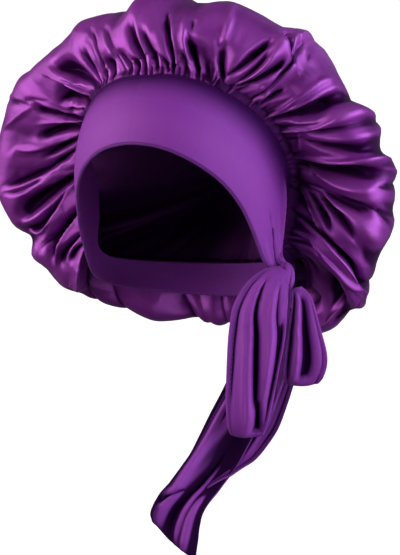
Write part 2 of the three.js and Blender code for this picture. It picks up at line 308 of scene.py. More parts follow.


# %% [markdown]
# ## Gathers, lobes and folds
# Real gathers are crowded and narrow at the stitching, run together into fewer, wider folds a few
# centimetres out, and end in the big lobes of the outline. Two tables hold what can be seen: the lobes
# and notches of the outline, and the deep hollows with the bright raised ridges. The crowding near the seam
# and the folds at the back, which can't be seen, are drawn from a seeded generator.

# %% Tables of the outline, the hollows and the ridges
# columns: share of the way round, how far the outline stands off the plain bag there
OUTLINE = np.array([
    (0, 6.8), (0.0167, -3.0), (0.025, -3.3), (0.0333, -3.1), (0.05, 2.2), (0.075, 2.9),
    (0.0833, 2.0), (0.1, 1.8), (0.1167, 12.6), (0.125, 8.1), (0.1333, 6.3), (0.1667, -1.9),
    (0.1833, -4.1), (0.2, 11.4), (0.225, -0.0), (0.2333, 0.9), (0.2417, 6.6), (0.25, 6.9),
    (0.2583, 4.9), (0.2833, 3.1), (0.2917, 6.0), (0.3, 4.8), (0.3167, -3.7), (0.3667, -2.6),
    (0.375, 0.8), (0.3833, -3.9), (0.3917, -6.2), (0.4083, 3.3), (0.4333, 6.4), (0.4583, 0.5),
    (0.48, 5.0), (0.5, 0.0), (0.525, 5.2), (0.545, 0.0), (0.575, 5.0), (0.6083, 0.9),
    (0.625, 3.6), (0.6333, -1.3), (0.65, 3.9), (0.6667, 2.2), (0.6833, 5.8), (0.6917, -5.2),
    (0.7, -2.2), (0.7083, 5.7), (0.7167, 5.4), (0.7417, 6.9), (0.75, 5.1), (0.775, 4.5),
    (0.8, 4.9), (0.8167, 8.2), (0.8417, 9.5), (0.85, 6.7), (0.8917, 3.0), (0.9083, 4.3),
    (0.9167, 7.5), (0.9583, -1.0), (0.9667, -0.8), (0.9833, 9.5), (1.0, 6.8),
])
# columns: from u, w; to u, w, all in thousandths; half width; depth, below nought for a ridge; where it is
# deepest, 0 to 1; how far its path bows to growing u, in thousandths; how much steeper it is on that side,
# with a raised lip beyond it
FOLDS = np.array([
    (907, 8, 885, 228, 5.6, 11, 0.7, 2, -0.5), (880, 4, 863, 130, 7.0, 13, 0.65, 0, 0.6),
    (889, 6, 867, 230, 1.5, -3.68, 0.5, 4, 0), (851, 28, 843, 76, 1.9, 4, 0.5, -2, 0.4),
    (836, 8, 829, 190, 3.1, 8, 0.45, -2, 0.6), (827, 216, 817, 328, 2.5, 4.5, 0.6, 1, 0.6),
    (829, 22, 809, 168, 1.5, -2.23, 0.4, 1, 0), (819, 20, 795, 150, 3.6, 8, 0.5, 2, 0),
    (802, 124, 786, 260, 6.5, 2.0, 0.5, -1, 0), (827, 198, 793, 300, 2.9, -2.5, 0.5, -4, 0),
    (808, 34, 778, 226, 1.9, -3, 0.4, -7, 0), (803, 26, 773, 140, 2.5, 7, 0.4, -1, 0),
    (787, 34, 744, 296, 2.2, 9, 0.35, -9, -0.5), (761, 126, 739, 286, 1.5, 4.87, 0.6, -8, -0.8),
    (759, 52, 716, 268, 4.4, 10, 0.55, -4, 0), (731, 118, 709, 268, 1.5, -2.23, 0.6, -4, 0),
    (741, 92, 704, 284, 2.8, 9, 0.6, -16, -0.7), (723, 62, 669, 232, 4.4, 11, 0.45, -5, -0.6),
    (699, 130, 681, 276, 1.7, 5, 0.5, -3, 0), (696, 58, 658, 206, 2.8, 7, 0.5, -4, 0),
    (678, 48, 654, 148, 2.8, 6, 0.5, -2, 0), (662, 52, 633, 308, 8.0, -8, 0.6, -11, 0),
    (917, 10, 923, 186, 2.5, 8, 0.35, 5, 0.4), (927, 10, 937, 212, 1.7, -2.5, 0.4, 9, 0),
    (930, 6, 936, 246, 1.5, 3.57, 0.5, 11, 0.7), (943, 2, 951, 90, 2.8, 9, 0.6, 2, 0),
    (929, 10, 939, 56, 1.5, 4.47, 0.4, 0, 0), (965, 6, 953, 218, 1.5, 5.2, 0.45, 2, -0.6),
    (979, 6, 969, 104, 1.9, 6, 0.4, 0, 0), (989, 10, 983, 66, 1.9, 7, 0.5, 0, 0),
    (1, 2, -16, 194, 2.2, 9, 0.4, -2, 0.6), (15, 6, -4, 164, 2.6, 7, 0.35, -1, 0),
    (20, 6, -1, 166, 1.5, -2.84, 0.5, -3, 0), (29, 10, 15, 68, 2.0, 7, 0.4, 0, 0),
    (35, 4, 12, 232, 2.3, 8, 0.45, -1, 0.8), (51, 12, 37, 86, 2.0, 7, 0.4, -1, 0),
    (70, 4, 39, 140, 2.8, 11, 0.6, -4, -0.4), (53, 12, 29, 224, 1.5, -3, 0.5, -4, 0),
    (40, 156, 37, 214, 1.5, 2.23, 0.5, 0, 0), (84, 0, 51, 136, 4.7, 5, 0.5, -1, 0),
    (88, 0, 71, 98, 1.5, -2.68, 0.4, 1, 0), (98, 24, 74, 154, 3.6, 5, 0.5, -5, 0),
    (73, 126, 57, 392, 3.3, -3, 0.6, 1, 0), (94, 42, 107, 258, 2.5, 10, 0.7, 0, -0.4),
    (109, 50, 112, 224, 1.5, 5, 0.6, 1, 0), (101, 46, 108, 232, 1.5, -2.1, 0.6, 2, 0),
    (109, 32, 117, 226, 1.6, -4, 0.7, 4, 0), (113, 30, 126, 236, 2.6, 10, 0.7, 3, -0.4),
    (142, 22, 113, 540, 1.6, 7, 0.45, 4, 0.6), (137, 270, 117, 385, 4.2, 8.5, 0.5, -12, 0.4),
    (139, 340, 114, 506, 2.2, 6, 0.5, 2, 0), (140, 340, 113, 452, 1.5, -2.84, 0.5, -4, 0),
    (156, 18, 151, 138, 1.9, 7, 0.6, -2, 0), (137, 28, 133, 100, 1.5, -2.52, 0.5, -1, 0),
    (150, 26, 143, 96, 1.5, -2.1, 0.5, -1, 0), (173, 32, 164, 430, 1.5, -4.6, 0.5, -3, 0),
    (176, 16, 177, 410, 4.4, 12, 0.55, 5, -0.7), (173, 156, 173, 402, 1.5, -2.03, 0.5, 5, 0),
    (182, 34, 189, 292, 1.5, -2, 0.5, 7, 0), (197, 16, 200, 296, 1.5, -4.14, 0.5, 2, 0),
    (201, 106, 199, 556, 2.8, 7, 0.6, 8, 0), (204, 100, 203, 578, 1.5, -4.5, 0.55, 16, 0),
    (211, 94, 226, 416, 2.8, 8, 0.4, 8, 0), (221, 50, 203, 84, 1.5, -2, 0.5, 3, 0),
    (228, 56, 234, 548, 1.5, -4.5, 0.5, 7, 0), (232, 14, 247, 422, 5.1, 13, 0.5, 6, -0.7),
    (239, 246, 251, 580, 1.5, -2.44, 0.5, 2, 0), (236, 42, 261, 344, 2.0, -3.5, 0.4, 13, 0),
    (265, 300, 255, 572, 2.0, 5, 0.5, -1, -0.3), (264, 102, 279, 330, 2.9, 9, 0.5, 4, -0.6),
    (254, 34, 283, 484, 1.5, 5.68, 0.6, 7, 0.6), (271, 326, 283, 578, 1.7, 3.5, 0.5, 1, 0),
    (264, 102, 287, 238, 1.5, -3.57, 0.5, 3, 0), (267, 42, 317, 196, 1.5, -5.06, 0.4, 18, 0),
    (266, 56, 303, 150, 2.6, 9, 0.45, 1, 0.6), (269, 94, 307, 266, 3.3, 8, 0.5, 0, 0),
    (289, 36, 351, 528, 3.5, 11, 0.45, 18, 0.4), (319, 72, 351, 364, 1.5, -5.21, 0.5, 18, 0),
    (350, 30, 400, 290, 9.0, 12, 0.5, 10, 0), (385, 20, 408, 290, 2.3, -8, 0.5, 8, 0),
    (420, 30, 425, 270, 4.0, 6, 0.5, 0, 0), (287, 224, 316, 452, 4.7, -3, 0.5, 2, 0),
    (281, 352, 299, 474, 2.9, 4.5, 0.5, -2, 0), (403, 354, 387, 376, 1.7, 4, 0.6, 4, 0),
    (146, 80, 138, 560, 15, 6, 0.5, 0, 0),
]) / (1000, 1000, 1000, 1000, 1, 1, 1, 1000, 1)

print(len(FOLDS), "folds,", len(OUTLINE), "points of the outline")

# %% The shape of one fold


def fold_shape(u, w, girth, row, wrap=True):
    """How far one fold pushes the cloth in: a rounded V across it, or a round hollow if it is wide, times a
    swell and two soft ends along it. A leaning fold is narrower on one side, and past that side the cloth is
    rolled into a lip. The fold is narrow where it starts and widens as it goes."""
    u0, w0, u1, w1, half, depth, deepest, bow, lean = row
    t = (w - w0) / (w1 - w0)
    s = np.clip(t, 0, 1)
    centre = u0 + (u1 - u0) * t + bow * 4 * s * (1 - s)
    aside = ((u - centre + 0.5) % 1 - 0.5 if wrap else u - centre) * girth
    slant = math.hypot(1, min(2, (u1 - u0) / (w1 - w0) * 1.9)) if wrap else 1
    widening = 0.45 + 0.75 * smooth(t, -0.1, 0.75)
    x = aside / (half * slant * widening) * (1 if lean >= 0 else -1)
    steep = 1 - 0.6 * abs(lean)
    lip = 0.3 * abs(lean) * np.exp(-(((x - 1.25 * steep - 0.35) / 0.32) ** 2))
    x = x / np.where(x > 0, steep, 1 + 0.4 * abs(lean))
    sharp = 1.0 if depth < 0 else min(max((3.7 - half) / 1.2, 0), 1)
    crease = np.exp(-np.sqrt(x**2 + 0.05) * 1.7) * 1.46
    across = sharp * crease + (1 - sharp) * np.exp(-(np.abs(x) ** 2.4) * 0.75)
    ends = between(t, -0.06, 0.18, 0.8, 1.1)
    rise = np.exp(-(((t - deepest) / 0.6) ** 2))
    return -depth * (across - lip) * ends * rise


# %% The band's own folds, where its two ends are drawn together into the knot
# columns: as above, but from w, u to w, u, and in whole shares
BAND_FOLDS = np.array([
    (0.92, 0.235, 0.74, 0.380, 13, 9.0, 0.75, 0, -0.5),
    (0.34, 0.225, 0.26, 0.365, 1.7, 3.6, 0.72, 0, 0),
    (0.12, 0.240, 0.08, 0.360, 2.4, -1.6, 0.7, 0, 0),
    (0.50, 0.240, 0.42, 0.360, 2.2, -1.8, 0.75, 0, 0),
])


BAND_WIDTH = 70


def band_push(u, w):
    """How far the band's folds push it out from its middle."""
    return sum(fold_shape(w, np.asarray(u) % 1, BAND_WIDTH, row, wrap=False) for row in BAND_FOLDS)


# %% The way the cloth runs between the folds
STRAIGHT_OUT, NEARNESS = 0.6, 6  # the weight of running straight out, and how far a fold leads, in mm


def fold_slope(u, w, girth):
    """How far u moves for each w along the folds about a point: the mean slope of their paths, weighed by
    depth and by nearness, against a small weight for running straight out."""
    total, weight = 0.0, STRAIGHT_OUT
    for u0, w0, u1, w1, _, depth, _, bow, _ in FOLDS:
        t = (w - w0) / (w1 - w0)
        s = np.clip(t, 0, 1)
        aside = ((u - u0 - (u1 - u0) * t - bow * 4 * s * (1 - s) + 0.5) % 1 - 0.5) * girth
        near = abs(depth) * np.exp(-((aside / NEARNESS) ** 2)) * between(t, -0.5, 0, 1, 1.5)
        total = total + near * (u1 - u0 + (bow * 4 * (1 - 2 * s) if 0 < t < 1 else 0)) / (w1 - w0)
        weight = weight + near
    return total / weight


# %% Pleats and billows


def pleats(u, w, seed, count, lean):
    """Crowded folds of uneven width: the size of a sine between their edges, each with its own height,
    length and lean. Their edges are the running sum of seeded widths."""
    rng = np.random.default_rng(seed)
    width = np.exp(rng.normal(size=count) * 0.45)
    edges = np.concatenate([[0], np.cumsum(width)]) / width.sum()
    leans = rng.normal(size=24) * lean
    tilt = np.interp(u % 1, np.linspace(0, 1, 25), np.append(leans, leans[0]))
    phase = np.interp((u + tilt * w) % 1, edges, np.arange(count + 1))
    i = np.floor(phase).astype(int) % count
    height = (0.35 + 0.9 * rng.random(count)) * np.sqrt(width)
    reach = 0.5 + rng.random(count)
    ridge = np.abs(np.sin(np.pi * phase)) ** 0.7 - 0.55
    return ridge * height[i], reach[i]


def billows(u, w, seed, waves):
    """Soft uneven swells over the flat disc: a sum of seeded waves, each across its own direction."""
    rng = np.random.default_rng(seed)
    x, y = (1 - w) * np.cos(2 * np.pi * u), (1 - w) * np.sin(2 * np.pi * u)
    total = np.zeros(x.shape)
    for _ in range(waves):
        angle, number = rng.uniform(0, 2 * np.pi), rng.uniform(1.5, 5)
        height, start = rng.normal() / number, rng.random()
        total += height * np.cos(2 * np.pi * (number * (x * np.cos(angle) + y * np.sin(angle)) + start))
    return total * 3 / math.sqrt(waves)


# %% The crown's relief
# columns: seed, how many round the seam, how far they lean
FINE_PLEATS, WIDE_PLEATS, LONG_PLEATS = (11, 112, 0.02), (12, 56, 0.02), (13, 30, 0.03)
BILLOWS = (14, 12)  # seed, waves
# where across the cloth each of them works: from nothing, in full, to where it fades, gone
LOBES_AT, TROUGH_AT = (0.1, 0.32, 0.46, 0.92), (0, 0.03, 0.04, 0.15)
LONG_AT, BILLOWS_AT = (0.03, 0.2, 0.42, 0.82), (0.46, 0.66, 0.92, 1.0)
UNSEEN = (0.42, 0.47, 0.63, 0.67)  # the part of the way round that the photograph can't show
TROUGH = 4.5  # how far the cloth dips just past the seam
FINE_HEIGHT, FINE_LESS, WIDE_HEIGHT, BILLOW_HEIGHT = 3.6, 1.6, 2.2, 2.6
LONG_HEIGHT, LONG_UNSEEN = 0.5, 4.0
DEEPEN, RIM_FOLDS = 1.35, 0.4  # how much deeper folds are than their table, and what they lose at the rim


def crown_relief(u, w, girth, lane):
    """Everything that the gathering does to the plain bag, in millimetres along its outward normal. The
    pleats follow the lane, which is where each column of the grid starts at the seam."""
    lobe = sum(np.interp((u + d) % 1, *OUTLINE.T) for d in (-0.003, 0, 0.003)) / 3
    height = lobe * between(w, *LOBES_AT) - TROUGH * between(w, *TROUGH_AT)
    for row in FOLDS:
        height += DEEPEN * fold_shape(u, w, girth, row) * (1 - RIM_FOLDS * smooth(w, 0.3, 0.46))
    fine, fine_reach = pleats(lane, w, *FINE_PLEATS)
    wide, wide_reach = pleats(lane, w, *WIDE_PLEATS)
    long, _ = pleats(u, w, *LONG_PLEATS)
    fine *= FINE_HEIGHT - FINE_LESS * smooth(np.minimum(u, 1 - u), 0.08, 0.2)
    height += fine * between(w, 0, 0.012, 0.015 * fine_reach, 0.075 * fine_reach)
    height += WIDE_HEIGHT * wide * smooth(w, 0, 0.012) * between(w, 0, 0.05, 0.04, 0.16 * wide_reach)
    unseen = np.maximum(between(u, *UNSEEN), smooth(w, 0.5, 0.68))
    height += (LONG_HEIGHT + LONG_UNSEEN * unseen) * long * between(w, *LONG_AT)
    return height + BILLOW_HEIGHT * billows(u, w, *BILLOWS) * between(w, *BILLOWS_AT)


# %% [markdown]
# ### The crown's grid
# The rows of the grid are closest where the pleats are, and the last one closes at a point behind the
# head. The columns are led by the folds near them, as the threads of the cloth are, so that every crease
# lies along the grid and stays crisp. The relief is laid along the plain bag's normals, which are smooth,
# so that folds never cross.

# %% The crown's grid, led by its folds
COLUMNS = 560
EVEN_AT = 0.14  # the row whose columns are evenly spaced

crown_rows = np.concatenate([
    np.linspace(0, 0.12, 27),
    np.linspace(0.12, 0.43, 36)[1:],
    np.linspace(0.43, 0.985, 26)[1:],
])
u_grid, w_grid = np.meshgrid(np.arange(COLUMNS) / COLUMNS, crown_rows)
plain = crown_plain(u_grid, w_grid)
girth = np.linalg.norm(np.roll(plain, -1, 1) - plain, axis=-1).sum(1, keepdims=True)
even = int(np.searchsorted(crown_rows, EVEN_AT))
for onward, last in ((1, len(crown_rows) - 1), (-1, 0)):
    for k in range(even, last, onward):
        slope = fold_slope(u_grid[k], crown_rows[k], girth[k])
        u_grid[k + onward] = u_grid[k] + slope * (crown_rows[k + onward] - crown_rows[k])
spacing = np.diff(u_grid, axis=1) * girth
print(f"columns {spacing.min():.2f} to {spacing.max():.2f} mm apart")

# %% Lay the relief on the grid
TINY = 0.002  # the step that slopes across the cloth are measured over
INSIDE = np.array([0, 30, -10.0])

plain = crown_plain(u_grid, w_grid)
run_u = np.roll(plain, -1, 1) - np.roll(plain, 1, 1)
run_w = crown_plain(u_grid, w_grid + TINY) - crown_plain(u_grid, np.maximum(w_grid - TINY, 0))
crown_normal = unit(np.cross(run_u, run_w))
crown_normal *= np.sign((crown_normal * (plain - INSIDE)).sum(-1).mean())
lane = np.broadcast_to(u_grid[:1], u_grid.shape)
u_grid = u_grid % 1
relief = crown_relief(u_grid, w_grid, girth, lane)
# beyond the front the relief is evened out from row to row
for _ in range(10):
    relief[1:-1] += ((relief[:-2] + relief[2:]) / 2 - relief[1:-1]) * 0.6 * smooth(w_grid, 0.2, 0.36)[1:-1]
shaped = plain + crown_normal * relief[..., None]
# the seam goes with the band's upper edge where that is drawn in towards the knot
drawn_in = band_push(lane, np.ones_like(lane)) * (1 - smooth(w_grid, 0, 0.09))
shaped += unit(closed_curve(TOP_RING, lane) * [1, 1, 0]) * drawn_in[..., None]
# each point goes half way to the mean of its four neighbours
around_it = (np.roll(shaped, 1, 1) + np.roll(shaped, -1, 1))[1:-1] + shaped[:-2] + shaped[2:]
shaped[1:-1] += (around_it / 4 - shaped[1:-1]) * 0.5 * smooth(w_grid, 0.01, 0.05)[1:-1, :, None]
print(f"relief {relief.min():.1f} to {relief.max():.1f} mm")

# %% Painted shade and highlight of the crown: 1 in a fold or under the crowded gathers, -1 on a ridge
# round the crown: from nothing, in full, to where it fades, gone
BY_EAR, FAR_SIDE, LIT_SIDE = (0.2, 0.27, 0.42, 0.48), (0.15, 0.22, 0.34, 0.4), (0.06, 0.1, 0.13, 0.17)
# strengths of the painted shade under the gathers and on the far rim, and of the painted highlight on the lit
# rim
PAINTED_SEAM_SHADE, FAR_RIM_SHADE, LIT_RIM_HIGHLIGHT = 0.95, 0.75, 0.7


def cavity(relief, passes, depth):
    """How far each point lies below the mean of those about it, as a share of depth: -1 on ridges, 1 in
    folds."""
    mean = relief
    for _ in range(passes):
        mean = (np.roll(mean, 1, 1) + np.roll(mean, -1, 1) + 2 * mean) / 4
        mean[1:-1] = (mean[:-2] + mean[2:] + 2 * mean[1:-1]) / 4
    return np.clip((mean - relief) / depth, -1, 1)


aside = smooth(np.minimum(u_grid, 1 - u_grid), 0.05, 0.14)
by_ear = between(u_grid, *BY_EAR)
# painted shade near the seam, darker in the small pleats' hollows and darkest right at the stitching
seam_shade = np.exp(-((w_grid / (0.04 + 0.02 * aside + 0.015 * by_ear)) ** 2))
seam_shade *= 0.6 + 0.15 * aside + 0.05 * by_ear + 0.9 * cavity(relief, 4, 1.2)
seam_shade += PAINTED_SEAM_SHADE * (1 - smooth(w_grid, 0.01, 0.03))
# painted shade in the folds and a painted highlight on the ridges, from how far the cloth lies below its
# surroundings
shade = 0.9 * np.maximum(cavity(relief, 80, 4.5), 0) + 0.55 * cavity(relief, 8, 1.6)
# painted shade over the rim farther round the side, and a painted highlight on the rim nearer the front
far_rim_shade = smooth(w_grid, 0.33, 0.42) * between(u_grid, *FAR_SIDE)
lit_rim_highlight = smooth(w_grid, 0.3, 0.4) * between(u_grid, *LIT_SIDE)
shade = np.clip(shade + seam_shade + FAR_RIM_SHADE * far_rim_shade - LIT_RIM_HIGHLIGHT * lit_rim_highlight, -1, 1)
print(f"shade {shade.mean():.3f} on average")

# %% The crown's mesh, with its place on the flat disc
DISC_RADIUS = 0.26
CLOSING_GAP = 4  # from the last row to the hindmost point

rows, columns = u_grid.shape
points = np.concatenate([shaped.reshape(-1, 3), [CROWN_BACK]])
last = (rows - 1) * columns + np.arange(columns)
faces = grid_faces(rows, columns).tolist() + fan(last, rows * columns).tolist()
step = np.linalg.norm(np.diff(plain, axis=0), axis=-1).mean(1)
reach = np.concatenate([[0], np.cumsum(step)])
share = DISC_RADIUS * (1 - reach / (reach[-1] + CLOSING_GAP))[:, None]
turn = 2 * np.pi * u_grid
flat = np.stack([share * np.cos(turn), share * np.sin(turn)], -1)
flat = np.concatenate([flat.reshape(-1, 2), [[0, 0]]])
# the fold attribute carries the painted shade and highlight into the satin's colour
crown = mesh_piece("crown_satin", points, faces, flat, fold=np.append(shade.ravel(), 0))
print(f"crown {len(points)} points, widest girth {girth.max():.0f} mm")

# %% [markdown]
# ### Let the cloth settle
# The gathered bag is let go as cloth for a moment, held at the seam and at its hindmost point. It is given
# a few hundredths more cloth than its shape needs, as gathered satin has, so it buckles into the small
# creases between the big folds. No point may move further than the cap, so the big folds stay in place. The
# back isn't gathered and takes none of it.

# %% Settle the crown
FRAMES, SPARE_CLOTH, CAP = 15, 0.035, 4.0
CLOTH = {
    "quality": 6,
    "mass": 0.12,
    "tension_stiffness": 18,
    "compression_stiffness": 12,
    "shear_stiffness": 4,
    "bending_stiffness": 1.5,
    "air_damping": 6,
    "vertex_group_mass": "held",
    "shrink_min": -SPARE_CLOTH,
}


def settle(piece, hold, share):
    """Runs the cloth from frame 1, then moves each point by its share of what it moved, d, held below the
    cap in millimetres: cap times tanh(d / cap)."""
    count = len(piece.data.vertices)
    before = np.empty(count * 3, dtype=np.float32)
    piece.data.vertices.foreach_get("co", before)
    before = before.reshape(-1, 3)
    group = piece.vertex_groups.new(name="held")
    for level in np.unique(hold[hold > 0]):
        group.add(np.flatnonzero(hold == level).tolist(), float(level), "REPLACE")
    cloth = piece.modifiers.new("cloth", "CLOTH")
    for key, value in CLOTH.items():
        setattr(cloth.settings, key, value)
    cloth.settings.effector_weights.gravity = 0
    cloth.collision_settings.use_collision = False
    cloth.collision_settings.use_self_collision = False
    cloth.point_cache.frame_start, cloth.point_cache.frame_end = 1, FRAMES
    for number in range(1, FRAMES + 1):
        bpy.context.scene.frame_set(number)
    settled = piece.evaluated_get(bpy.context.evaluated_depsgraph_get()).to_mesh()
    after = np.empty(count * 3, dtype=np.float32)
    settled.vertices.foreach_get("co", after)
    moved = after.reshape(-1, 3) - before
    piece.modifiers.remove(cloth)
    piece.vertex_groups.remove(group)
    bpy.context.scene.frame_set(1)
    size = np.linalg.norm(moved, axis=1, keepdims=True)
    moved *= share[:, None] * CAP * MM * np.tanh(size / (CAP * MM)) / np.maximum(size, 1e-9)
    piece.data.vertices.foreach_set("co", (before + moved).ravel())
    piece.data.update()
    print(f"{piece.name} moved {size.mean() / MM:.2f} mm on average, {size.max() / MM:.1f} at most")


hold = np.maximum(1 - smooth(w_grid, 0.0, 0.03), smooth(w_grid, 0.85, 0.98)).ravel()
hold = np.round(np.append(hold, 1.0), 2)
settle(crown, hold, np.append(1 - smooth(w_grid, 0.4, 0.52).ravel(), 0))

# %% [markdown]
# ### The cloth's thickness
# Satin is thin, but a wall is needed so that the bag is a true hollow and its inside shows through the
# opening. The wall is laid inwards, so that the outside keeps its shape.

# %% Give the crown its wall
CROWN_WALL = 0.8

wall = crown.modifiers.new("wall", "SOLIDIFY")
wall.thickness = CROWN_WALL * MM
wall.offset = -1
wall.use_rim = True
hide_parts("crown")

# %% [markdown]
# ## The band
# Two layers of jersey from one strip folded along its lower edge, so that edge is round, and the upper edge
# holds the gathers. It is one closed wall: up the outside, over the top, down the inside and round the fold.

# %% Walls round a strip


FOLD_DEPTH = 0.8  # how far below its surroundings cloth lies where its tone is darkest
FLAT_GAP = 10  # between the two sides of a strip on the flat cloth
MARGIN = 12  # steps that a strip is carried on past its edges before it is blurred


def section(steps):
    """One trip round a flat section: share across it, side from 1 outside to -1 inside, and step past its
    edge."""
    up = np.linspace(0, 1, steps)
    turn = np.radians([60, 30, 0, -30, -60])
    outside = np.stack([up, np.ones(steps), np.zeros(steps)], -1)
    over = np.stack([np.ones(5), np.sin(turn), np.cos(turn)], -1)
    inside = np.stack([up[::-1], -np.ones(steps), np.zeros(steps)], -1)
    under = np.stack([np.zeros(5), -np.sin(turn), -np.cos(turn)], -1)
    return np.concatenate([outside, over, inside, under]).T


def strip_piece(name, surface, stations, steps, wall, closed, length, width, painted_shadow):
    """A wall of even thickness about surface(a, b), with round edges: a runs along the strip and b across it.
    The middle is moved by half the wall along its normal, and past each edge along the sheet. The fold
    attribute, for painted shade and highlight, is how far the cloth lies below its blurred self, finely and
    broadly, plus the painted shadow on the outside, for cloth in the shade of other cloth."""
    across, side, past = section(steps)
    a, k = np.meshgrid(stations, np.arange(len(across)), indexing="ij")
    b = across[k]
    run_a = surface(a + 5e-4, b) - surface(a - 5e-4, b)
    run_b = surface(a, b + 5e-3) - surface(a, b - 5e-3)
    normal = unit(np.cross(run_a, run_b))
    points = surface(a, b) + normal * (side[k] * wall / 2)[..., None]
    points += unit(run_b) * (past[k] * wall / 2)[..., None]
    rows, columns = a.shape
    if closed:
        faces = (grid_faces(rows + 1, columns) % (rows * columns)).tolist()
    else:
        faces = grid_faces(rows, columns).tolist()
        there = [columns - 3, columns - 2, columns - 1, *range(steps + 3)]
        back = list(range(columns - 3, steps + 1, -1))
        for first in (0, (rows - 1) * columns):
            for i in range(len(there) - 1):
                corners = [there[i], there[i + 1], back[i + 1], back[i]]
                faces.append([first + c for c in dict.fromkeys(corners)])
    flat = np.stack([a * length, b * width + (side[k] < 0) * (width + FLAT_GAP)], -1) * MM
    outer = surface(a[:, :steps], b[:, :steps])
    mean = np.pad(outer, ((0, 0), (MARGIN, MARGIN), (0, 0)), mode="reflect", reflect_type="odd")
    # painted shade where the cloth lies below its blurred self, a painted highlight where it stands above
    fold = 0
    for passes, depth in ((30, FOLD_DEPTH), (150, 5 * FOLD_DEPTH)):
        for _ in range(passes):
            mean[:, 1:-1] = (mean[:, :-2] + mean[:, 2:] + 2 * mean[:, 1:-1]) / 4
        fold = fold + ((mean[:, MARGIN:-MARGIN] - outer) * normal[:, :steps]).sum(-1) / depth
    nearest = np.rint(b * (steps - 1)).astype(int)
    fold = np.take_along_axis(fold, nearest, 1) * np.sign(side[k] + 0.01)
    # the painted shadow of other cloth, laid on the outside only
    shadow_here = np.take_along_axis(np.broadcast_to(painted_shadow, outer.shape[:2]), nearest, 1)
    fold = np.clip(fold + shadow_here * np.maximum(side[k], 0), -1, 1)
    values = {"across": b.ravel(), "along": (a * length * MM).ravel(), "fold": fold.ravel()}
    piece = mesh_piece(name, points.reshape(-1, 3), faces, flat.reshape(-1, 2), **values)
    face_outwards(piece)
    print(f"{name} cloth area {sum(f.area for f in piece.data.polygons) / 2 * 1e4:.0f} cm2")
    return piece


# %% Build the band
BAND_WALL, BAND_STATIONS, BAND_STEPS, BAND_LENGTH = 2.2, 480, 40, 540
# columns: share across the band, how dark the painted shadow of the crown is there
BAND_PAINTED_SHADOW = np.array([
    (0.35, 0), (0.53, 0.42), (0.65, 0.72), (0.77, 0.92), (0.88, 1.08), (0.965, 1.12), (1, 1.6),
])


def band_surface(u, w):
    """The band's middle with the folds that run into the knot."""
    middle = band_middle(u, w)
    return middle + unit(middle * [1, 1, 0]) * band_push(u, w)[..., None]


# the crown hangs over the band's upper half, and a painted shadow darkens it more towards the seam
band_shadow = np.interp(np.linspace(0, 1, BAND_STEPS), *BAND_PAINTED_SHADOW.T)
stations = np.arange(BAND_STATIONS) / BAND_STATIONS
band = strip_piece(
    "band_jersey", band_surface, stations, BAND_STEPS, BAND_WALL, True, BAND_LENGTH, BAND_WIDTH, band_shadow
)
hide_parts("band")
print("band", len(band.data.vertices), "points")

# %% [markdown]
# ## The ties
# The band's two ends are the same doubled strip, 75 mm wide and crumpled lengthwise. Each loop and tail is
# a strip led along a route of points read off the photograph, as wide as it looks there, with the creases
# it shows. The ties face the camera, so their tables are turned with it: x is to the image's right, y is
# away from the camera.

# %% Tables of the ties
TIE_WALL, TIE_STEPS, TIE_WIDTH = 1.8, 44, 75
# columns of a route: to the right, away, up; width there
LOOP_FRONT = np.array([
    (66, -53, -77, 9), (60, -56, -83, 21), (54, -59, -93, 31), (49, -61, -107, 37),
    (47, -61, -122, 38), (44, -60, -147, 35), (41.5, -57, -170, 31), (40.5, -53, -187, 26),
    (40.5, -49, -192, 22), (41, -44, -186, 26), (44, -42, -168, 29), (47, -42, -145, 31),
    (51, -43, -120, 29), (57, -46, -102, 20), (64, -49, -88, 9),
], dtype=float)
LOOP_BACK = np.array([
    (74.2, -51.1, -90, 8), (77.5, -53, -98, 15), (79, -54, -118, 24), (80.5, -53, -140, 31),
    (79.5, -50, -152, 27), (79, -46, -156, 22), (79, -42, -151, 25), (79.5, -41, -136, 28),
    (78, -42, -116, 22), (76, -44, -98, 14), (74.4, -46.2, -91.2, 8),
], dtype=float)
TAIL_LONG = np.array([
    (63.8, -44, -91, 8), (58, -38, -112, 20), (49, -34, -142, 29), (39, -32, -168, 32),
    (30, -34, -186, 33), (20, -39, -204, 32), (9, -47, -220, 30), (-1, -53, -234, 30),
    (-9, -57, -248, 34), (-12, -59, -263, 35), (-11, -61, -281, 29),
], dtype=float)
TAIL_SHORT = np.array([
    (72.6, -41.2, -89.6, 8), (75, -29, -115, 14), (70, -25, -140, 17), (64, -24, -161, 17),
    (60, -25, -173, 17), (55, -27, -186, 17), (48, -30, -198, 16), (39, -34, -210, 14),
    (27, -39, -220, 12), (11, -43, -230, 8),
], dtype=float)
# columns of a fold: as the crown's, with u across the strip and w along it, in whole shares
LOOP_FRONT_FOLDS = np.array([
    (0.32, 0.10, 0.68, 0.48, 3.0, 9.0, 0.5, -0.03, -0.6),
    (0.12, 0.06, 0.10, 0.44, 2.0, 3.0, 0.4, 0, -0.3),
    (0.94, 0.22, 0.94, 0.52, 3.0, 4.0, 0.6, 0, 0.4),
    (0.66, 0.12, 0.84, 0.42, 3.0, -2.4, 0.5, 0, 0),
    (0.74, 0.08, 0.90, 0.34, 1.5, 2.6, 0.4, 0, 0),
    (0.22, 0.20, 0.42, 0.50, 3.4, -1.6, 0.6, 0, 0),
    (0.72, 0.42, 0.76, 0.57, 3.2, 8.0, 0.5, 0, 0),
    (0.40, 0.60, 0.50, 0.97, 3.0, 3.0, 0.5, 0, 0),
    (0.74, 0.60, 0.60, 0.97, 2.5, 3.0, 0.5, 0, 0),
])
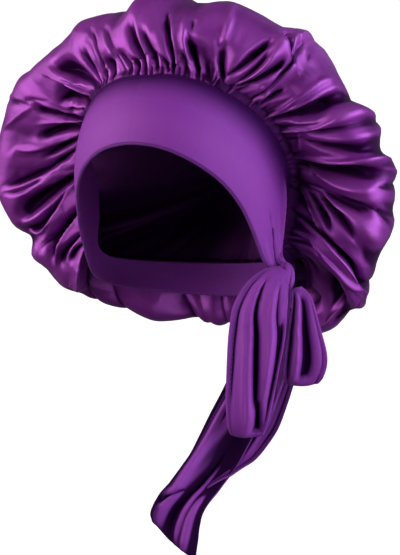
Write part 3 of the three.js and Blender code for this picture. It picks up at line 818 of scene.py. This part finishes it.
LOOP_BACK_FOLDS = np.array([
    (0.24, 0.02, 0.08, 0.44, 1.6, 5.0, 0.5, 0, -0.4),
    (0.42, 0.03, 0.28, 0.42, 1.6, -2.4, 0.5, 0, 0),
    (0.60, 0.06, 0.50, 0.44, 4.4, 7.0, 0.6, 0, -0.4),
    (0.94, 0.10, 0.88, 0.50, 2.2, 1.6, 0.6, 0, 0),
    (0.35, 0.54, 0.45, 0.98, 2.5, 3.0, 0.5, 0, 0),
    (0.70, 0.54, 0.60, 0.98, 2.5, 3.0, 0.5, 0, 0),
])
TAIL_LONG_FOLDS = np.array([
    (0.58, 0.48, 0.42, 0.99, 3.4, 6.5, 0.5, 0, 0.5),
    (0.74, 0.20, 0.66, 0.72, 9.0, 11.0, 0.5, 0, -0.3),
    (0.84, 0.66, 0.74, 1.00, 3.5, -4.0, 0.6, 0, 0),
    (0.18, 0.25, 0.20, 0.85, 3.6, -4.0, 0.5, 0, 0),
    (0.34, 0.70, 0.04, 0.84, 2.0, 5.0, 0.6, 0, 0.5),
])
TAIL_SHORT_FOLDS = np.array([
    (0.16, 0.05, 0.16, 0.95, 3.0, 6.0, 0.5, 0, 0),
    (0.50, 0.10, 0.50, 0.95, 3.0, -1.6, 0.5, 0, 0),
    (0.84, 0.10, 0.84, 0.98, 0.9, 1.6, 0.5, 0, 0),
])

# %% Build the ties


def turned(points):
    """Points of the ties' tables turned with the camera about the upright axis."""
    x, y, z = np.moveaxis(points, -1, 0)
    return np.stack([x * math.cos(yaw) - y * math.sin(yaw), x * math.sin(yaw) + y * math.cos(yaw), z], -1)


def tie_surface(table, folds, side, arch, skew):
    """A strip along a route: across it by its width, arched by 1 - (2u-1)^2, and pushed in by its folds. The
    skew cuts its end aslant, by drawing the low edge back along the last of its way."""
    route, widths = table[:, :3], table[:, 3:]
    level = unit(np.array(side, float))

    def surface(w, u):
        """The point at share w along the strip and u across it."""
        t = np.clip(w - skew * (1 - u) * np.clip(w, 0, 1) ** 6, 0, 1)
        run = unit(open_curve(route, np.minimum(t + 1e-3, 1)) - open_curve(route, np.maximum(t - 1e-3, 0)))
        across = unit(level - run * (run * level).sum(-1, keepdims=True))
        out = unit(np.cross(run, across))
        width = open_curve(widths, w)[..., 0]
        push = arch * (1 - (2 * u - 1) ** 2) * np.minimum(width / 30, 1)
        for row in folds:
            push = push + fold_shape(u, w, width, row, wrap=False)
        return turned(open_curve(route, t) + across * ((u - 0.5) * width)[..., None] + out * push[..., None])

    return surface


# columns: name, route, folds, direction across, arch, skew, stations, painted shadow, flat length,
# cut area in cm2
# the tails hang under the loops, so their painted shadow is the darkest
TIES = [
    ("loop_front", LOOP_FRONT, LOOP_FRONT_FOLDS, (1, 0, 0), 3.0, 0, 200, 0.05, 260, 100),
    ("loop_back", LOOP_BACK, LOOP_BACK_FOLDS, (1, 0, 0), 2.5, 0, 160, 0.05, 140, 50),
    ("tail_long", TAIL_LONG, TAIL_LONG_FOLDS, (1, 0, 0.25), 1.0, 0.15, 200, 1.0, 240, 80),
    ("tail_short", TAIL_SHORT, TAIL_SHORT_FOLDS, (0.9, 0, 0.5), 1.0, 0, 160, 0.7, 190, 30),
]
ties = []
for name, table, folds, side, arch, skew, count, painted_shadow, length, _ in TIES:
    surface, stations = tie_surface(table, folds, side, arch, skew), np.linspace(0, 1, count)
    piece = strip_piece(
        name + "_jersey", surface, stations, TIE_STEPS, TIE_WALL, False, length, TIE_WIDTH, painted_shadow
    )
    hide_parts(name)
    ties.append(piece)
    print(name, len(piece.data.vertices), "points")

# %% [markdown]
# ## The knot
# One end is wrapped over the other below the ear, so the knot is a narrow lens of cloth, pulled into folds
# that run round it aslant. It is a ball whose girth is drawn in by the folds: a sine of the turn and height.

# %% Build the knot
KNOT_AT = np.array([67.6, -46.0, -82.0])
KNOT_HALF = np.array([6.0, 6.6, 11.0])
KNOT_FOLDS, KNOT_DEPTH, KNOT_SLANT = 5, 0.16, 0.9
KNOT_ROWS, KNOT_COLUMNS = 59, 96
KNOT_FLAT = (0.045, 0.012)

height, turn_share = np.meshgrid(
    np.linspace(-1, 1, KNOT_ROWS + 2)[1:-1], np.arange(KNOT_COLUMNS) / KNOT_COLUMNS, indexing="ij"
)
turn = 2 * np.pi * turn_share
level = np.sin(height * np.pi / 2)
body = np.maximum(1 - level**2, 0) ** 0.4
fold = np.abs(np.sin((KNOT_FOLDS * turn + KNOT_SLANT * height * np.pi) / 2)) ** 0.6 - 0.6
reach = body * (1 + KNOT_DEPTH * 2 * fold * body)
ball = np.stack([reach * np.sin(turn), reach * np.cos(turn), level], -1).reshape(-1, 3)
ball = np.concatenate([ball, [[0, 0, -1], [0, 0, 1]]]) * KNOT_HALF + KNOT_AT
flat = np.stack([turn_share, height], -1).reshape(-1, 2)
flat = np.concatenate([flat, [[0, -1], [0, 1]]]) * KNOT_FLAT
first, count = np.arange(KNOT_COLUMNS), KNOT_ROWS * KNOT_COLUMNS
caps = np.concatenate([fan(first, count), fan(first + count - KNOT_COLUMNS, count + 1)])
faces = grid_faces(KNOT_ROWS, KNOT_COLUMNS).tolist() + caps.tolist()
knot = mesh_piece("knot_twist", turned(ball), faces, flat)
face_outwards(knot)
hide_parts("knot")

# %% [markdown]
# ## What each sheet was cut from
# The band and the ties are one doubled strip about 1.3 m long and 75 mm wide. Each piece's map on the
# flat cloth is laid out with its own length of that strip. The knot is the crossing of the two ends.

# %% [markdown]
# ## Materials
# The satin is woven with long floats, so it shines in soft streaks and wrinkles finely where it is gathered,
# and it is painted nearly black between its folds, as painted shade. The jersey is a fine knit with a dull
# bloom. What both share is built once as node groups: the knit and the weave as heights, the dye's
# unevenness, and the painted shade and highlight of the folds.

# %% Node helpers


def feed(tree, socket, value):
    """Links value to the socket if it is an output, and sets it there otherwise."""
    if isinstance(value, bpy.types.NodeSocket):
        tree.links.new(value, socket)
    else:
        socket.default_value = value


def node(tree, kind, inputs=(), **settings):
    """The outputs of a new node with these settings, its inputs fed in order, or by key from a dict."""
    made = tree.nodes.new("ShaderNode" + kind)
    for key, value in settings.items():
        setattr(made, key, value)
    for key, value in inputs.items() if isinstance(inputs, dict) else enumerate(inputs):
        feed(tree, made.inputs[key], value)
    return made.outputs


def calc(tree, operation, *values):
    """A Math node's result."""
    return node(tree, "Math", values, operation=operation)["Value"]


def ranged(tree, value, low, high, to_low=0.0, to_high=1.0):
    """value carried from low..high to to_low..to_high with a soft start and end."""
    inputs = (value, low, high, to_low, to_high)
    return node(tree, "MapRange", inputs, interpolation_type="SMOOTHSTEP")["Result"]


def blend(tree, share, a, b):
    """Two colours mixed by share. Sockets 6 and 7 and output 2 are the Mix node's colours."""
    return node(tree, "Mix", {0: share, 6: a, 7: b}, data_type="RGBA")[2]


def noise(tree, place, scale, detail=3.0, roughness=0.5):
    """Even noise from 0 to 1 about a half."""
    inputs = {"Vector": place, "Scale": scale, "Detail": detail, "Roughness": roughness}
    return node(tree, "TexNoise", inputs)["Fac"]


def parts(tree, place):
    """The x and y of a place."""
    split = node(tree, "SeparateXYZ", (place,))
    return split["X"], split["Y"]


def bumped(tree, height, distance, **more):
    """The normal of a surface raised by height times distance."""
    return node(tree, "Bump", {"Height": height, "Distance": distance, **more})["Normal"]


def attribute(tree, name):
    """A point attribute's value."""
    return node(tree, "Attribute", attribute_name=name)["Fac"]


def flat_place(tree):
    """The place on the flat cloth, in metres."""
    return node(tree, "UVMap", uv_map="flat")["UV"]


# %% Groups, attributes and materials


def group(name, inputs, outputs):
    """An empty node group with sockets of these names and kinds, and its inner input and output nodes."""
    tree = bpy.data.node_groups.new(name, "ShaderNodeTree")
    for side, sockets in (("INPUT", inputs), ("OUTPUT", outputs)):
        for key, kind in sockets.items():
            tree.interface.new_socket(key, in_out=side, socket_type="NodeSocket" + kind)
    return tree, tree.nodes.new("NodeGroupInput").outputs, tree.nodes.new("NodeGroupOutput").inputs


def use(tree, made, **values):
    """The outputs of a group node with these values fed in."""
    return node(tree, "Group", values, node_tree=made)


def principled(name, **values):
    """A node material, its tree and its shader's sockets, with these values set on them."""
    material = bpy.data.materials.new(name)
    material.use_nodes = True
    sockets = material.node_tree.nodes["Principled BSDF"].inputs
    for key, value in values.items():
        sockets[key.replace("_", " ")].default_value = value
    return material, material.node_tree, sockets


# %% [markdown]
# ### Weave and knit
# A five-shed satin lifts each thread over four and ties it down under the fifth, each time two threads on.
# A plain knit is columns of small Vs. Both are written as the height of the cloth's face at a flat place.

# %% Groups for the weave and the knit
SHEDS, SHED_STEP, TIED_DOWN = 5.0, 2.0, 0.7
V_DEPTH, LOOP_SHARE, WALE_SHARE = 1.6, 0.3, 0.7


def pattern(name):
    """A group that turns a flat place and a pitch into a height, with the place counted in pitches."""
    tree, given, result = group(name, {"Place": "Vector", "Pitch": "Float"}, {"Height": "Float"})
    x, y = (calc(tree, "DIVIDE", part, given["Pitch"]) for part in parts(tree, given["Place"]))
    return tree, x, y, result["Height"]


weave, x, y, result = pattern("satin_weave")
thread = calc(weave, "ABSOLUTE", calc(weave, "SINE", calc(weave, "MULTIPLY", x, math.pi)))
shed = calc(weave, "MULTIPLY_ADD", calc(weave, "FLOOR", x), SHED_STEP, calc(weave, "FLOOR", y))
tied = calc(weave, "LESS_THAN", calc(weave, "FLOORED_MODULO", shed, SHEDS), 0.5)
feed(weave, result, calc(weave, "MULTIPLY", thread, calc(weave, "MULTIPLY_ADD", tied, -TIED_DOWN, 1.0)))

knit, x, y, result = pattern("jersey_knit")
leg = calc(knit, "ABSOLUTE", calc(knit, "SUBTRACT", calc(knit, "FRACT", x), 0.5))
loop = calc(knit, "MULTIPLY", calc(knit, "MULTIPLY_ADD", leg, V_DEPTH, y), 2 * math.pi)
wale = calc(knit, "SINE", calc(knit, "MULTIPLY", leg, 2 * math.pi))
loop = calc(knit, "MULTIPLY", calc(knit, "SINE", loop), LOOP_SHARE)
feed(knit, result, calc(knit, "MULTIPLY_ADD", wale, WALE_SHARE, loop))
print("groups", weave.name, knit.name)

# %% [markdown]
# ### Dye, painted shade and highlight, and stitches
# The dye takes a little unevenly. Between folds the cloth is painted dark as painted shade, and its shine is
# taken down, and on a ridge it is painted lighter as a painted highlight. A stitched line draws the cloth in
# a little, its groove is painted darker as painted shade, and its thread lies in short dashes.

# %% Groups for the dye, the painted shade and highlight, and stitching
BROAD, FINE = (14.0, 2.0, 1.3), (160.0, 3.0, 0.7)  # scale, detail and share of the dye's two noises
# how much of the shine is taken away in the darkest painted shade
SHINE_LOST_IN_SHADE = 0.9
GROOVE_HALF = 0.0016
THREAD_HALF = (0.0005, 0.0002)
DASH_HALF = (0.42, 0.34)

dye, given, result = group(
    "uneven_dye", {"Place": "Vector", "Colour": "Color", "Amount": "Float"}, {"Colour": "Color"}
)
broad, fine = (
    calc(dye, "MULTIPLY", noise(dye, given["Place"], scale, detail), share)
    for scale, detail, share in (BROAD, FINE)
)
uneven = calc(dye, "SUBTRACT", calc(dye, "ADD", broad, fine), 1.0)
lightness = calc(dye, "MULTIPLY_ADD", uneven, given["Amount"], 1.0)
dyed = node(dye, "VectorMath", {0: given["Colour"], "Scale": lightness}, operation="SCALE")["Vector"]
feed(dye, result["Colour"], dyed)

tone, given, result = group(
    "painted_shade_and_highlight",
    {"Fold": "Float", "Colour": "Color", "ShadeColour": "Color", "Bright": "Color", "Shine": "Float"},
    {"Colour": "Color", "Shine": "Float"},
)
# painted shade: towards the shade colour as the value goes to 1, with less shine; painted highlight: towards
# the highlight colour as it goes to -1
shade_share = ranged(tone, given["Fold"], 0.0, 1.0)
lit = blend(tone, ranged(tone, given["Fold"], 0.0, -1.0), given["Colour"], given["Bright"])
feed(tone, result["Colour"], blend(tone, shade_share, lit, given["ShadeColour"]))
shine_left_in_shade = calc(tone, "MULTIPLY_ADD", shade_share, -SHINE_LOST_IN_SHADE, 1.0)
feed(tone, result["Shine"], calc(tone, "MULTIPLY", given["Shine"], shine_left_in_shade))

stitch, given, result = group(
    "stitched_line",
    {"Away": "Float", "Along": "Float", "Length": "Float"},
    {"Groove": "Float", "Thread": "Float"},
)
away = calc(stitch, "ABSOLUTE", given["Away"])
feed(stitch, result["Groove"], ranged(stitch, away, GROOVE_HALF, 0.0))
dash = calc(stitch, "FRACT", calc(stitch, "DIVIDE", given["Along"], given["Length"]))
dash = ranged(stitch, calc(stitch, "ABSOLUTE", calc(stitch, "SUBTRACT", dash, 0.5)), *DASH_HALF)
feed(stitch, result["Thread"], calc(stitch, "MULTIPLY", dash, ranged(stitch, away, *THREAD_HALF)))
print("groups", dye.name, tone.name, stitch.name)

# %% [markdown]
# ### Satin
# The satin's small wrinkles run out from the seam, so their noise is stretched along the flat disc's radius:
# it is read at the point of the disc's edge straight out from each place, and moves on slowly along the way.

# %% The satin material
STRETCH = 0.16
WRINKLED = (0.1, 0.22)
WRINKLE_DEPTH, WEAVE_DEPTH, WEAVE_PITCH = 0.0007, 0.00003, 0.0004

satin, tree, sockets = principled("satin", Metallic=0.4, Specular_Tint=(0.88, 0.62, 0.92, 1))
place = flat_place(tree)
out_by = node(tree, "VectorMath", (place,), operation="LENGTH")["Value"]
x, y = parts(tree, node(tree, "VectorMath", (place,), operation="NORMALIZE")["Vector"])
edge = [calc(tree, "MULTIPLY", x, DISC_RADIUS), calc(tree, "MULTIPLY", y, DISC_RADIUS)]
polar = node(tree, "CombineXYZ", (*edge, calc(tree, "MULTIPLY", out_by, STRETCH)))["Vector"]
gathered = calc(tree, "MULTIPLY", noise(tree, polar, 60.0, 2.0, 0.45), ranged(tree, out_by, *WRINKLED))
wrinkles = calc(tree, "MULTIPLY_ADD", noise(tree, place, 60.0, 2.0), 0.25, gathered)
dyed = use(tree, dye, Place=place, Colour=(0.215, 0.027, 0.285, 1), Amount=0.25)["Colour"]
# painted shade colour for the folds and painted highlight colour for the ridges
painted_colours = {"ShadeColour": (0.034, 0.0035, 0.052, 1), "Bright": (0.33, 0.065, 0.42, 1)}
# the colour and the shine with the painted shade and highlight laid on
with_painted_light = use(tree, tone, Fold=attribute(tree, "fold"), Colour=dyed, Shine=0.5, **painted_colours)
feed(tree, sockets["Base Color"], with_painted_light["Colour"])
feed(tree, sockets["Specular IOR Level"], with_painted_light["Shine"])
feed(tree, sockets["Roughness"], ranged(tree, noise(tree, place, 120.0), 0.3, 0.7, 0.3, 0.4))
normal = bumped(tree, wrinkles, WRINKLE_DEPTH)
woven = use(tree, weave, Place=place, Pitch=WEAVE_PITCH)["Height"]
feed(tree, sockets["Normal"], bumped(tree, woven, WEAVE_DEPTH, Normal=normal))
crown.data.materials.append(satin)

# %% [markdown]
# ### Jersey
# The band and the ties are the same jersey. The band is pulled smooth, and its lower edge is folded under.
# The ties are creased, and a seam runs beside one of their edges.

# %% The jersey materials
CREASE_DEPTH, KNIT_DEPTH, KNIT_PITCH = 0.0009, 0.00006, 0.0008
# GROOVE_SHADE is how strongly painted shade darkens the stitched line's groove
STITCH_LENGTH, GROOVE_SHADE, THREAD_SHADE = 0.0026, 0.55, 0.35
ALONG_THE_STRIP = (0.15, 1.0, 1.0)


def jersey_material(name, crease, line_across, width, shade_colour):
    """The jersey with creases of this height, a stitched line at this share across a strip this wide, and
    the colour of the painted shade deep in its folds."""
    bloom = {"Sheen_Roughness": 0.4, "Sheen_Tint": (0.85, 0.5, 0.9, 1)}
    material, tree, sockets = principled(name, Metallic=0.1, **bloom)
    place = flat_place(tree)
    dyed = use(tree, dye, Place=place, Colour=(0.192, 0.0233, 0.297, 1), Amount=0.16)["Colour"]
    # painted shade colour for the folds and painted highlight colour for the ridges
    painted_colours = {"ShadeColour": shade_colour, "Bright": (0.229, 0.034, 0.334, 1)}
    with_painted_light = use(tree, tone, Fold=attribute(tree, "fold"), Colour=dyed, Shine=0.2, **painted_colours)
    away = calc(tree, "MULTIPLY", calc(tree, "SUBTRACT", attribute(tree, "across"), line_across), width)
    line = use(tree, stitch, Away=away, Along=attribute(tree, "along"), Length=STITCH_LENGTH)
    # painted shade in the stitched line's groove
    groove_shade = calc(tree, "MULTIPLY", line["Groove"], GROOVE_SHADE)
    threaded = calc(tree, "MULTIPLY", line["Thread"], THREAD_SHADE)
    with_groove_shade = blend(tree, groove_shade, with_painted_light["Colour"], (0.03, 0.003, 0.06, 1))
    feed(tree, sockets["Base Color"], blend(tree, threaded, with_groove_shade, (0.20, 0.035, 0.34, 1)))
    # the shine and the sheen are taken down in the painted shade
    feed(tree, sockets["Specular IOR Level"], with_painted_light["Shine"])
    feed(tree, sockets["Sheen Weight"], calc(tree, "MULTIPLY", with_painted_light["Shine"], 0.75))
    feed(tree, sockets["Roughness"], ranged(tree, noise(tree, place, 300.0), 0.3, 0.7, 0.46, 0.56))
    drawn = node(tree, "VectorMath", (place, ALONG_THE_STRIP), operation="MULTIPLY")["Vector"]
    creased = calc(tree, "MULTIPLY", noise(tree, drawn, 170.0), crease)
    height = calc(tree, "SUBTRACT", creased, calc(tree, "MULTIPLY", line["Groove"], 0.5))
    knitted = use(tree, knit, Place=place, Pitch=KNIT_PITCH)["Height"]
    normal = bumped(tree, knitted, KNIT_DEPTH, Normal=bumped(tree, height, CREASE_DEPTH))
    feed(tree, sockets["Normal"], normal)
    return material


# the last colour of each is the painted shade deep in its folds
band.data.materials.append(jersey_material("jersey_band", 0.12, 0.0, 0.07, (0.03, 0.003, 0.06, 1)))
tie_jersey = jersey_material("jersey_ties", 0.8, 0.07, 0.03, (0.016, 0.0015, 0.03, 1))
for piece in (knot, *ties):
    piece.data.materials.append(tie_jersey)
print("materials", [m.name for m in bpy.data.materials])

# %% [markdown]
# ## Stage and light
# The bonnet hangs over a pale floor that turns up into a wall all round, in even soft light from both sides.

# %% Stage
FLOOR_UP, FLOOR_RADIUS, BEND_RADIUS, WALL_TOP, STAGE_TURNS = -900, 2600, 900, 3600, 96

a = np.linspace(0, np.pi / 2, 12)[1:]
profile = np.concatenate([
    np.stack([FLOOR_RADIUS * np.linspace(0, 1, 20), np.zeros(20)], -1),
    np.stack([FLOOR_RADIUS + BEND_RADIUS * np.sin(a), BEND_RADIUS * (1 - np.cos(a))], -1),
    [[FLOOR_RADIUS + BEND_RADIUS, WALL_TOP]],
])
a = np.arange(STAGE_TURNS) / STAGE_TURNS * 2 * np.pi
out, up = profile[:, :1], np.repeat(profile[:, 1:] + FLOOR_UP, STAGE_TURNS, 1)
stage_grid = np.stack([out * np.cos(a), out * np.sin(a), up], -1)
stage_faces = grid_faces(len(profile), STAGE_TURNS).tolist()
stage_mesh = bpy.data.meshes.new("floor")
stage_mesh.from_pydata((stage_grid.reshape(-1, 3) * MM).tolist(), [], stage_faces)
stage_mesh.shade_smooth()
floor = placed("floor", stage_mesh)
glow = {"Emission_Color": (1, 1, 1, 1), "Emission_Strength": 0.9}
floor.data.materials.append(principled("pale_floor", Base_Color=(0.9, 0.9, 0.9, 1), Roughness=0.9, **glow)[0])
floor.visible_glossy = False
floor.visible_diffuse = False
print("floor", len(stage_mesh.vertices), "points")

# %% Light from all round
world = bpy.data.worlds.new("studio")
world.use_nodes = True
bpy.context.scene.world = world
bpy.context.scene.view_settings.view_transform = "Standard"
tree = world.node_tree
place = (node(tree, "TexCoord")["Generated"], tuple(-towards_camera))
behind = node(tree, "VectorMath", place, operation="DOT_PRODUCT")["Value"]
seen = node(tree, "LightPath")["Is Camera Ray"]
strength = node(tree, "Mix", {0: seen, 2: ranged(tree, behind, -0.1, 0.8, 0.03, 0.12), 3: 1.0})[0]
background = tree.nodes["Background"].inputs
feed(tree, background["Strength"], strength)
feed(tree, background["Color"], (1, 1, 1, 1))

# %% Lamps
# columns: name, degrees right of the camera, height above the object, distance, width, power, colour
LAMPS = [
    ("lamp_left", -80, 380, 1300, 1500, 26.5, (1.0, 0.92, 0.87)),
    ("lamp_right", 70, 330, 1300, 1500, 28.5, (0.92, 0.94, 1.0)),
    ("lamp_top", 0, 1500, 500, 1100, 2.5, (1.0, 1.0, 1.0)),
    ("lamp_front", -50, 150, 1700, 900, 9, (1.0, 0.97, 0.94)),
    ("lamp_bounce", 60, -500, 1000, 900, 4, (1.0, 0.95, 0.97)),
]
LAMP_AIM = Vector((0, 0, -20 * MM))
for name, degrees, up, distance, size, power, colour in LAMPS:
    lamp = placed(name, bpy.data.lights.new(name, "AREA"))
    a = yaw + math.radians(degrees)
    place = Vector((math.sin(a) * distance, -math.cos(a) * distance, up)) * MM
    aimed(lamp, place, place - LAMP_AIM)
    lamp.data.shape = "SQUARE"
    lamp.data.size = size * MM
    lamp.data.energy = power
    lamp.data.color = colour
    lamp.visible_camera = False
print("lamps", len(LAMPS))
